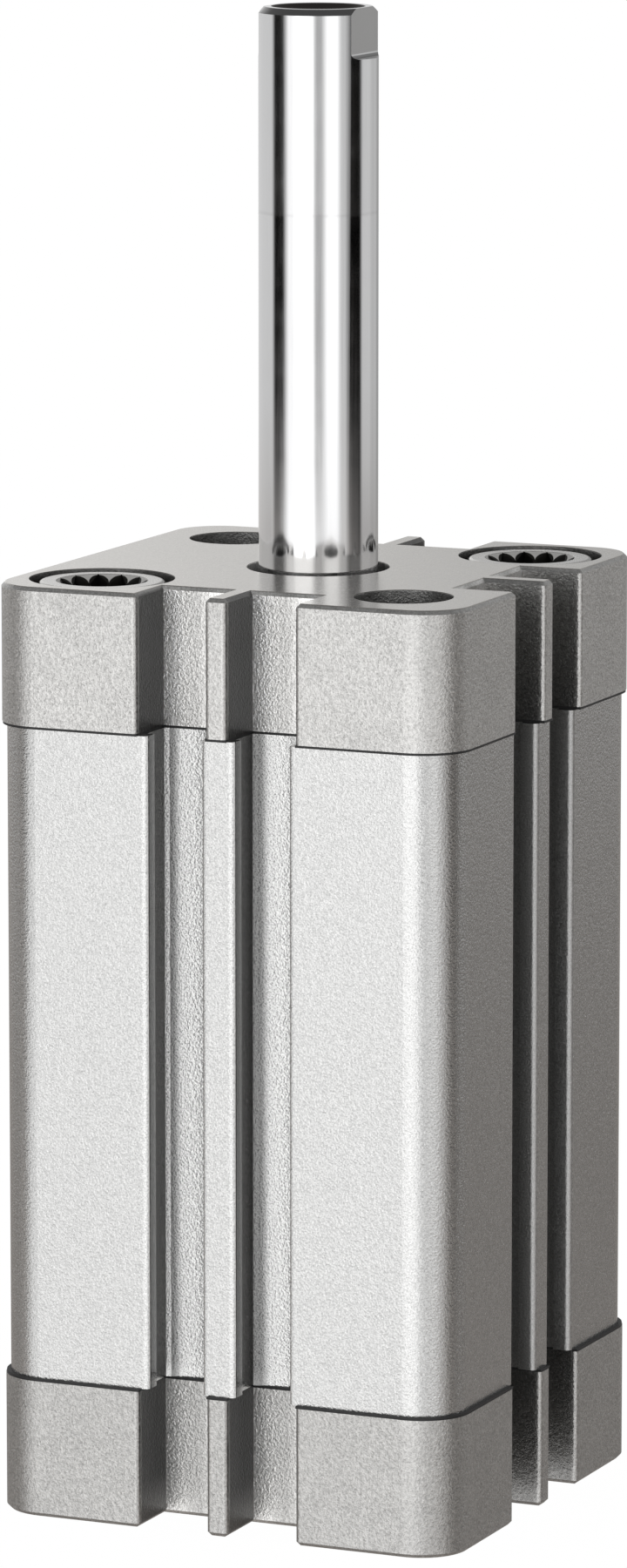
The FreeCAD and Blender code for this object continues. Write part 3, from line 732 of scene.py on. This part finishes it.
@dataclass(frozen=True)
class ScrewSteel:
    """Bright turned heads with broached sockets painted near-black as painted shade, led into by a pale dull
    cone.

    low_head and high_head are the heights of the heads' outer faces. The painted shade of the socket's
    notches rises into the cone in round arches, to arch_depth below the face, and lead_turn is how far the
    cone is turned up or down.
    """

    low_head: float
    high_head: float
    tint: Colour = (0.6, 0.59, 0.572)
    contrast: float = 0.15
    mark: float = 0.15 * MM
    mark_detail: float = 3.0
    mark_depth: float = 0.004 * MM
    roughness: float = 0.26
    roughness_swing: float = 0.15
    hole_offset: float = 16.25 * MM
    # painted shade in the socket
    socket_shade_tint: Colour = (0.03, 0.029, 0.027)
    socket_radius: float = 4.75 * MM
    socket_start: float = 0.03 * MM
    socket_points: int = 12
    socket_dullness: float = 0.2
    # painted light on the cone
    lead_lit_tint: Colour = (0.68, 0.67, 0.65)
    lead_turn: Span = (0.3, 0.45)
    lead_depth: float = 0.85 * MM
    arch_depth: float = 0.1 * MM
    arch_blur: float = 0.03 * MM

    def material(self) -> bpy.types.Material:
        """Build the screws' material.

        Returns:
            The finished material.
        """
        material, graph = make_material("screw_steel")
        place = graph.place()
        east, north, height = graph.axes(place)
        marks = graph.noise(place, self.mark, self.mark_detail)
        sunk = (height - self.low_head).least(self.high_head - height)
        # painted shade: the walls of the socket are near-black, and the shade rises into the cone in round
        # arches
        inside = graph.corner_bores(self.hole_offset, 0.0, self.socket_radius)[1]
        socket = inside * sunk.step(self.socket_start, 2.0 * self.socket_start)
        sloping = abs(graph.axes(graph.facing())[2]).step(*self.lead_turn)
        turn = (abs(north) - self.hole_offset).bearing(abs(east) - self.hole_offset)
        arch = 1.0 - abs((0.5 * self.socket_points * turn).cosine()).root()
        lead_end = arch.between(self.arch_depth, self.lead_depth)
        lead = socket * sloping * (lead_end - sunk).step(-self.arch_blur, self.arch_blur)
        bright = graph.mottled(self.tint, marks, self.contrast)
        # painted light on the pale matt cone, painted shade on the socket's walls
        walls = graph.blend(lead, self.socket_shade_tint, self.lead_lit_tint)
        duller = self.socket_dullness * socket
        close_surface(
            graph,
            {
                "Base Color": graph.blend(socket, bright, walls),
                "Metallic": 1.0 - lead,
                "Roughness": self.roughness + marks.swing(self.roughness_swing) + duller,
                "Normal": graph.bump(marks, self.mark_depth),
            },
        )
        return material


@dataclass(frozen=True)
class TurnedMetal:
    """Turned metal with fine tool marks."""

    name: str
    tint: Colour
    roughness: float = 0.34
    roughness_swing: float = 0.15
    contrast: float = 0.15
    mark: float = 0.12 * MM
    mark_detail: float = 3.0
    mark_weight: float = 0.5
    mark_depth: float = 0.004 * MM
    patch: float = 2.4 * MM
    patch_weight: float = 0.4

    def material(self) -> bpy.types.Material:
        """Build the metal's material.

        Returns:
            The finished material.
        """
        material, graph = make_material(self.name)
        place = graph.place()
        marks = graph.noise(place, self.mark, self.mark_detail)
        patches = graph.noise(place, self.patch)
        level = marks.swing(self.mark_weight) + patches.swing(self.patch_weight) + 0.5
        close_surface(
            graph,
            {
                "Base Color": graph.mottled(self.tint, level.clamped(), self.contrast),
                "Metallic": 1.0,
                "Roughness": self.roughness + marks.swing(self.roughness_swing),
                "Normal": graph.bump(marks, self.mark_depth),
            },
        )
        return material


@dataclass(frozen=True)
class MattCompound:
    """Matt rubber, bonded magnet or bearing plastic."""

    name: str
    tint: Colour
    roughness: float
    roughness_swing: float = 0.2
    contrast: float = 0.2
    grain: float = 0.2 * MM
    grain_detail: float = 3.0
    grain_depth: float = 0.01 * MM

    def material(self) -> bpy.types.Material:
        """Build the compound's material.

        Returns:
            The finished material.
        """
        material, graph = make_material(self.name)
        grain = graph.noise(graph.place(), self.grain, self.grain_detail)
        close_surface(
            graph,
            {
                "Base Color": graph.mottled(self.tint, grain, self.contrast),
                "Roughness": self.roughness + grain.swing(self.roughness_swing),
                "Normal": graph.bump(grain, self.grain_depth),
            },
        )
        return material


@dataclass(frozen=True)
class PaleFloor:
    """White floor that shows the camera only a little of its shade."""

    reflectance: float = 0.8
    white_share: float = 0.96
    white_strength: float = 1.03

    def material(self) -> bpy.types.Material:
        """Build the floor's material.

        Returns:
            The finished material.
        """
        material, graph = make_material("pale_floor")
        grey = (self.reflectance,) * 3 + (1.0,)
        matt = graph.signal("ShaderNodeBsdfDiffuse", 0, None, {"Color": grey})
        glow = {"Color": (1.0, 1.0, 1.0, 1.0), "Strength": self.white_strength}
        white = graph.signal("ShaderNodeEmission", 0, None, glow)
        seen = graph.signal("ShaderNodeLightPath", "Is Camera Ray")
        mixed = graph.signal("ShaderNodeMixShader", 0, None, {0: seen * self.white_share, 1: matt, 2: white})
        graph.add("ShaderNodeOutputMaterial", None, {"Surface": mixed})
        return material


BUSH_BRONZE = TurnedMetal("bush_bronze", (0.55, 0.38, 0.18), 0.42)
PISTON_ALLOY = TurnedMetal("piston_alloy", (0.62, 0.62, 0.63), 0.3)
NUT_STEEL = TurnedMetal("nut_steel", (0.5, 0.49, 0.47))
# painted shade: the rod's thread is near-black, as it lies deep in its bore
THREAD_STEEL = TurnedMetal("thread_steel", (0.1, 0.094, 0.088), 0.45)
BLACK_RUBBER = MattCompound("black_rubber", (0.02, 0.02, 0.021), 0.55)
PISTON_SEAL_RUBBER = MattCompound("piston_seal_rubber", (0.02, 0.02, 0.021), 0.5)
MAGNET_COMPOUND = MattCompound("magnet_compound", (0.08, 0.08, 0.085), 0.5)
GUIDE_PLASTIC = MattCompound("guide_plastic", (0.12, 0.16, 0.14), 0.4)


@dataclass(frozen=True)
class ThreadForm:
    """A thread's pitch and the radii of its root and crest, as cut into a bore.

    base_share and crest_share are the widths of the ridge there, as shares of the pitch.
    """

    pitch: float
    root_radius: float
    crest_radius: float
    base_share: float = 0.9
    crest_share: float = 0.16


ROD_THREAD = ThreadForm(1.25 * MM, 4.0 * MM, 3.34 * MM)
SCREW_THREAD = ThreadForm(1.0 * MM, 3.0 * MM, 2.47 * MM)
PORT_THREAD = ThreadForm(0.907 * MM, 4.865 * MM, 4.29 * MM)


@dataclass
class InnerThread:
    """The helical ridge of an inner thread, standing on the wall of its bore.

    mouth is the centre of the bore where the thread starts, and inward the way that it runs. The ridge
    starts and ends at lowest_rise of its height.
    """

    name: str
    form: ThreadForm
    mouth: Vector
    inward: Vector
    length: float
    body: Body
    slot: Slot
    steps_per_turn: int = 40
    run_in_turns: float = 0.6
    lowest_rise: float = 0.05
    sharp_degrees: float = 35.0

    def build(self, material: bpy.types.Material) -> bpy.types.Object:
        """Make the ridge and let it ride on its body.

        Args:
            material: the finish of the metal that the thread is cut in.

        Returns:
            The ridge's object.
        """
        mesh = bpy.data.meshes.new(self.name)
        shape = bmesh.new()
        rings = [self._section(shape, turn) for turn in self._turns()]
        for ring, following in zip(rings, rings[1:]):
            for side in range(len(ring)):
                after = (side + 1) % len(ring)
                shape.faces.new((ring[side], following[side], following[after], ring[after]))
        shape.faces.new(rings[0])
        shape.faces.new(reversed(rings[-1]))
        bmesh.ops.recalc_face_normals(shape, faces=shape.faces)
        shape.to_mesh(mesh)
        shape.free()
        piece = bpy.data.objects.new(self.name, mesh)
        bpy.context.scene.collection.objects.link(piece)
        mesh.materials.append(material)
        mesh.shade_smooth()
        mesh.set_sharp_from_angle(angle=math.radians(self.sharp_degrees))
        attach(piece, self.body.value)
        return piece

    def _last_turn(self) -> float:
        """Return where the helix ends, counted in turns."""
        return self.length / self.form.pitch - 1.0

    def _turns(self) -> List[float]:
        """Return the helix's stations, counted in turns."""
        count = int(round(self._last_turn() * self.steps_per_turn))
        return [station / self.steps_per_turn for station in range(count + 1)]

    def _section(self, shape: bmesh.types.BMesh, turn: float) -> List[bmesh.types.BMVert]:
        """Add the ridge's section at one station, lower where the thread runs in or out.

        Args:
            shape: the mesh that the section is added to.
            turn: the station, counted in turns.

        Returns:
            The section's four corners.
        """
        form = self.form
        to_end = self._last_turn() - turn
        rise = max(self.lowest_rise, min(1.0, turn / self.run_in_turns, to_end / self.run_in_turns))
        crest = form.root_radius - (form.root_radius - form.crest_radius) * rise
        turned = self.inward.to_track_quat("Z", "Y").to_matrix().to_4x4()
        frame = Matrix.Translation(self.mouth) @ turned @ Matrix.Rotation(math.tau * turn, 4, "Z")
        depth = (turn + 0.5) * form.pitch
        half_base = 0.5 * form.base_share * form.pitch
        half_crest = 0.5 * form.crest_share * form.pitch
        corners = (
            (form.root_radius, depth - half_base),
            (crest, depth - half_crest),
            (crest, depth + half_crest),
            (form.root_radius, depth + half_base),
        )
        return [shape.verts.new(frame @ Vector((radius, 0.0, along))) for radius, along in corners]


@dataclass
class Housing:
    """The barrel between its two caps, with their screws, gaskets and ports."""

    nodes: Dict[str, bpy.types.Object]
    port_height: float = 7.0 * MM
    port_chamfer: float = 0.4 * MM
    port_thread_length: float = 7.2 * MM
    screw_offset: float = 16.25 * MM
    screw_thread_start: float = 4.4 * MM
    screw_thread_length: float = 13.6 * MM

    def dress(self) -> None:
        """Give the housing's nodes their finishes and add its threads."""
        low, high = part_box("end_cap")[0].z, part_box("bearing_cap")[1].z
        front_casting = BlastedCasting("bearing_cap_casting", low, high).material()
        # painted shade: the end cap's casting is a darker copy of the bearing cap's, with its own amounts of
        # painted light and shade in the channels
        rear_casting = BlastedCasting(
            "end_cap_casting",
            low,
            high,
            tint=(0.466, 0.461, 0.451),
            floor_gain=1.1,
            nook_gain=1.65,
            mouth_shade=0.84,
            deep_shade=0.97,
        ).material()
        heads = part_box("rear_cap_screws")[0].z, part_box("front_cap_screws")[1].z
        steel = ScrewSteel(*heads).material()
        dress_nodes(self.nodes, ("bearing_cap",), front_casting)
        dress_nodes(self.nodes, ("end_cap",), rear_casting)
        dress_nodes(self.nodes, ("barrel",), SatinAnodising().material())
        dress_nodes(self.nodes, ("rear_cap_screws", "front_cap_screws"), steel)
        # the gaskets are black rubber, partly a dark joint and partly painted shade: their edges stand for
        # the shade of the joint lines
        rubber_nodes = ("rear_gasket", "front_gasket", "rear_bumper", "front_bumper", "rod_seal", "rod_wiper")
        dress_nodes(self.nodes, rubber_nodes, BLACK_RUBBER.material())
        dress_nodes(self.nodes, ("rod_bush",), BUSH_BRONZE.material())
        for thread, casting in zip(self._port_threads(low, high), (rear_casting, front_casting)):
            thread.build(casting)
        for thread in self._screw_threads(low, high):
            thread.build(steel)

    def _port_threads(self, low: float, high: float) -> List[InnerThread]:
        """Lay out the threads of the two air ports.

        Args:
            low: the height of the end cap's outer face.
            high: the height of the bearing cap's outer face.

        Returns:
            The rear port's thread and the front port's.
        """
        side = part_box("end_cap")[0].x + self.port_chamfer
        heights = {"rear_port_thread": low + self.port_height, "front_port_thread": high - self.port_height}
        return [
            InnerThread(
                name,
                PORT_THREAD,
                Vector((side, 0.0, height)),
                Vector((1.0, 0.0, 0.0)),
                self.port_thread_length,
                Body.HOUSING,
                Slot.CAST_CAP,
            )
            for name, height in heights.items()
        ]

    def _screw_threads(self, low: float, high: float) -> List[InnerThread]:
        """Lay out the inner threads of the four cap screws.

        Args:
            low: the height of the end cap's outer face.
            high: the height of the bearing cap's outer face.

        Returns:
            The threads of the two rear screws and then of the two front ones.
        """
        threads = []
        for end, face, sign in (("rear", low, 1.0), ("front", high, -1.0)):
            for number, side in enumerate((-1.0, 1.0), start=1):
                corner = side * self.screw_offset
                threads.append(
                    InnerThread(
                        f"{end}_screw_thread_{number}",
                        SCREW_THREAD,
                        Vector((corner, corner, face + sign * self.screw_thread_start)),
                        Vector((0.0, 0.0, sign)),
                        self.screw_thread_length,
                        Body.HOUSING,
                        Slot.SCREW_STEEL,
                    )
                )
        return threads


@dataclass
class RodAssembly:
    """The piston rod and the piston that it carries."""

    nodes: Dict[str, bpy.types.Object]
    mouth_radius: float = 4.72 * MM
    flat_length: float = 5.0 * MM
    ring_drop: float = 20.3 * MM
    thread_start: float = 0.7 * MM
    thread_length: float = 15.0 * MM

    def dress(self) -> None:
        """Give the moving nodes their finishes and add the rod's thread."""
        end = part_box("piston_rod")[1].z
        heights = end - self.flat_length, end - self.ring_drop
        dress_nodes(self.nodes, ("piston_rod",), PolishedChrome(self.mouth_radius, *heights).material())
        dress_nodes(self.nodes, ("piston_front_disc", "piston_rear_disc"), PISTON_ALLOY.material())
        dress_nodes(self.nodes, ("piston_nut",), NUT_STEEL.material())
        dress_nodes(self.nodes, ("piston_magnet",), MAGNET_COMPOUND.material())
        dress_nodes(self.nodes, ("piston_guide_ring",), GUIDE_PLASTIC.material())
        seals = ("front_piston_seal", "rear_piston_seal", "piston_rod_oring")
        dress_nodes(self.nodes, seals, PISTON_SEAL_RUBBER.material())
        mouth = Vector((0.0, 0.0, end - self.thread_start))
        down = Vector((0.0, 0.0, -1.0))
        thread = InnerThread(
            "rod_thread", ROD_THREAD, mouth, down, self.thread_length, Body.ROD, Slot.CHROMED_ROD
        )
        thread.build(THREAD_STEEL.material())


@dataclass(frozen=True)
class Panel:
    """An evenly lit stretch of the studio's walls, between two degrees around the cylinder."""

    first: float
    last: float
    level: float


@dataclass
class Studio:
    """White floor, softboxes and dark flags painted on the world, and the camera.

    Degrees count from the front of the cylinder towards its right side. low_walls light its upright
    faces, high_walls its rod and what the tops of its caps mirror, and upper_walls those tops from higher up.
    A height is the upward part of a direction, from -1 to 1, and a span says between which heights high
    walls, upper walls, floor, ceiling and zenith begin. Within falloff_span the walls are dimmer lower down.
    Light is neutral above the levels of neutral_span, and has the colour of shade below them.
    """

    floor_side: float = 12.0
    camera_place: Tuple[float, float, float] = (0.319738, -0.726873, 0.203904)
    camera_azimuth: float = 23.778
    camera_pitch: float = 9.436
    lens: float = 183.765
    sensor: float = 36.0
    clip_start: float = 0.01
    low_walls: Tuple[Panel, ...] = (
        Panel(-180.0, -105.0, 0.375),
        Panel(-95.0, -82.0, 0.295),
        Panel(-66.0, -60.0, 0.66),
        Panel(-43.0, -22.0, 1.69),
        Panel(-15.0, 12.0, 2.3),
        Panel(24.0, 30.0, 1.68),
        Panel(38.0, 58.0, 1.2),
        Panel(74.0, 80.0, 0.85),
        Panel(96.0, 100.0, 0.36),
        Panel(118.0, 138.0, 0.14),
        Panel(152.0, 168.0, 0.228),
        Panel(178.0, 180.0, 0.375),
    )
    high_walls: Tuple[Panel, ...] = (
        Panel(-180.0, -162.0, 0.36),
        Panel(-151.0, -144.0, 0.97),
        Panel(-130.0, -77.0, 0.71),
        Panel(-66.5, -49.0, 0.0),
        Panel(-33.0, -27.0, 1.22),
        Panel(-18.0, 8.0, 1.8),
        Panel(21.0, 27.0, 0.48),
        Panel(44.0, 58.0, 1.42),
        Panel(70.0, 76.0, 0.66),
        Panel(86.0, 110.0, 0.0),
        Panel(119.0, 138.0, 0.68),
        Panel(150.0, 166.0, 0.55),
        Panel(178.0, 180.0, 0.36),
    )
    upper_walls: Tuple[Panel, ...] = (
        Panel(-180.0, -162.0, 0.36),
        Panel(-151.0, -144.0, 0.97),
        Panel(-130.0, -90.0, 0.71),
        Panel(-72.0, -55.0, 0.45),
        Panel(-40.0, -30.0, 0.85),
        Panel(-15.0, 15.0, 1.0),
        Panel(40.0, 60.0, 0.85),
        Panel(86.0, 110.0, 0.55),
        Panel(130.0, 166.0, 0.55),
        Panel(178.0, 180.0, 0.36),
    )
    high_span: Span = (-0.16, -0.115)
    upper_span: Span = (0.18, 0.23)
    falloff: float = 1.7
    falloff_from: float = -0.147
    falloff_span: Span = (-0.45, -0.1)
    floor_glow: float = 0.32
    floor_span: Span = (-0.225, -0.245)
    ceiling: float = 0.3
    ceiling_span: Span = (0.35, 0.6)
    zenith: float = 0.27
    zenith_span: Span = (0.6, 0.8)
    neutral_span: Span = (0.4, 1.0)
    shade_colour: Colour = (1.075, 1.0, 0.94)
    box_colour: Colour = (1.0, 1.0, 1.0)

    def build(self) -> None:
        """Set up the view transform, floor, light and camera."""
        bpy.context.scene.view_settings.view_transform = "Standard"
        self._build_floor()
        self._build_world()
        self._build_camera()

    def _build_floor(self) -> None:
        """Lay the floor that the cylinder stands on."""
        half = 0.5 * self.floor_side
        corners = [(-half, -half, 0.0), (half, -half, 0.0), (half, half, 0.0), (-half, half, 0.0)]
        mesh = bpy.data.meshes.new("floor")
        mesh.from_pydata(corners, [], [(0, 1, 2, 3)])
        mesh.materials.append(PaleFloor().material())
        floor = bpy.data.objects.new("floor", mesh)
        bpy.context.scene.collection.objects.link(floor)
        floor.visible_glossy = False

    def _build_world(self) -> None:
        """Paint the softboxes on the world, which the camera itself sees as plain white."""
        world = bpy.data.worlds.new("studio")
        world.use_nodes = True
        bpy.context.scene.world = world
        graph = Graph(world.node_tree)
        direction = graph.signal("ShaderNodeTexCoord", "Generated")
        east, north, up = graph.axes(direction)
        turn = east.bearing(0.0 - north) / math.tau + 0.5
        rings = (self.low_walls, self.high_walls, self.upper_walls)
        low, high, upper = (self._ring(graph, turn, walls) for walls in rings)
        raised = up.step(*self.high_span)
        lifted = up.step(*self.upper_span)
        ring = low * (1.0 - raised) + raised * (high * (1.0 - lifted) + upper * lifted)
        lowest, highest = self.falloff_span
        fading = 1.0 + self.falloff * (up.most(lowest).least(highest) - self.falloff_from)
        walls = (ring * fading).most(self.floor_glow * up.step(*self.floor_span))
        overhead = up.step(*self.ceiling_span)
        top = up.step(*self.zenith_span).between(self.ceiling, self.zenith)
        light = walls * (1.0 - overhead) + top * overhead
        seen = graph.signal("ShaderNodeLightPath", "Is Camera Ray")
        strength = light * (1.0 - seen) + seen
        neutral = strength.step(*self.neutral_span).most(raised)
        colour = graph.blend(neutral, self.shade_colour, self.box_colour)
        glow = graph.signal("ShaderNodeBackground", 0, None, {"Color": colour, "Strength": strength})
        graph.add("ShaderNodeOutputWorld", None, {"Surface": glow})

    @staticmethod
    def _ring(graph: Graph, turn: Signal, walls: Sequence[Panel]) -> Signal:
        """Paint one ring of walls.

        Args:
            graph: the world's graph.
            turn: the way round from 0 to 1, which starts at the back.
            walls: the panels in the same order.

        Returns:
            The level of the walls.
        """
        top = max(panel.level for panel in walls)
        stops = [
            (degrees / 360.0 + 0.5, panel.level / top)
            for panel in walls
            for degrees in (panel.first, panel.last)
        ]
        ramp = graph.signal("ShaderNodeValToRGB", 0, {"stops": stops}, {0: turn})
        return graph.signal("ShaderNodeSeparateColor", 0, None, {0: ramp}) * top

    def _build_camera(self) -> None:
        """Place the camera at the photograph's point of view."""
        data = bpy.data.cameras.new("camera")
        data.lens = self.lens
        data.sensor_width = self.sensor
        data.clip_start = self.clip_start
        camera = bpy.data.objects.new("camera", data)
        bpy.context.scene.collection.objects.link(camera)
        camera.location = self.camera_place
        tilt = math.radians(90.0 - self.camera_pitch)
        camera.rotation_euler = (tilt, 0.0, math.radians(self.camera_azimuth))
        bpy.context.scene.camera = camera


def dress_nodes(
    nodes: Dict[str, bpy.types.Object], names: Sequence[str], material: bpy.types.Material
) -> None:
    """Give nodes of the frame one material.

    Args:
        nodes: the frame's nodes by name.
        names: the nodes that get the material.
        material: their finish.
    """
    for name in names:
        mesh = nodes[name].data
        mesh.materials.clear()
        mesh.materials.append(material)


def main() -> None:
    """Load the frame, dress the cylinder and set up the studio."""
    logging.basicConfig(level=logging.INFO, format="%(name)s: %(message)s")
    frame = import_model()
    Housing(frame["nodes"]).dress()
    RodAssembly(frame["nodes"]).dress()
    Studio().build()


if __name__ == "__main__":
    main()
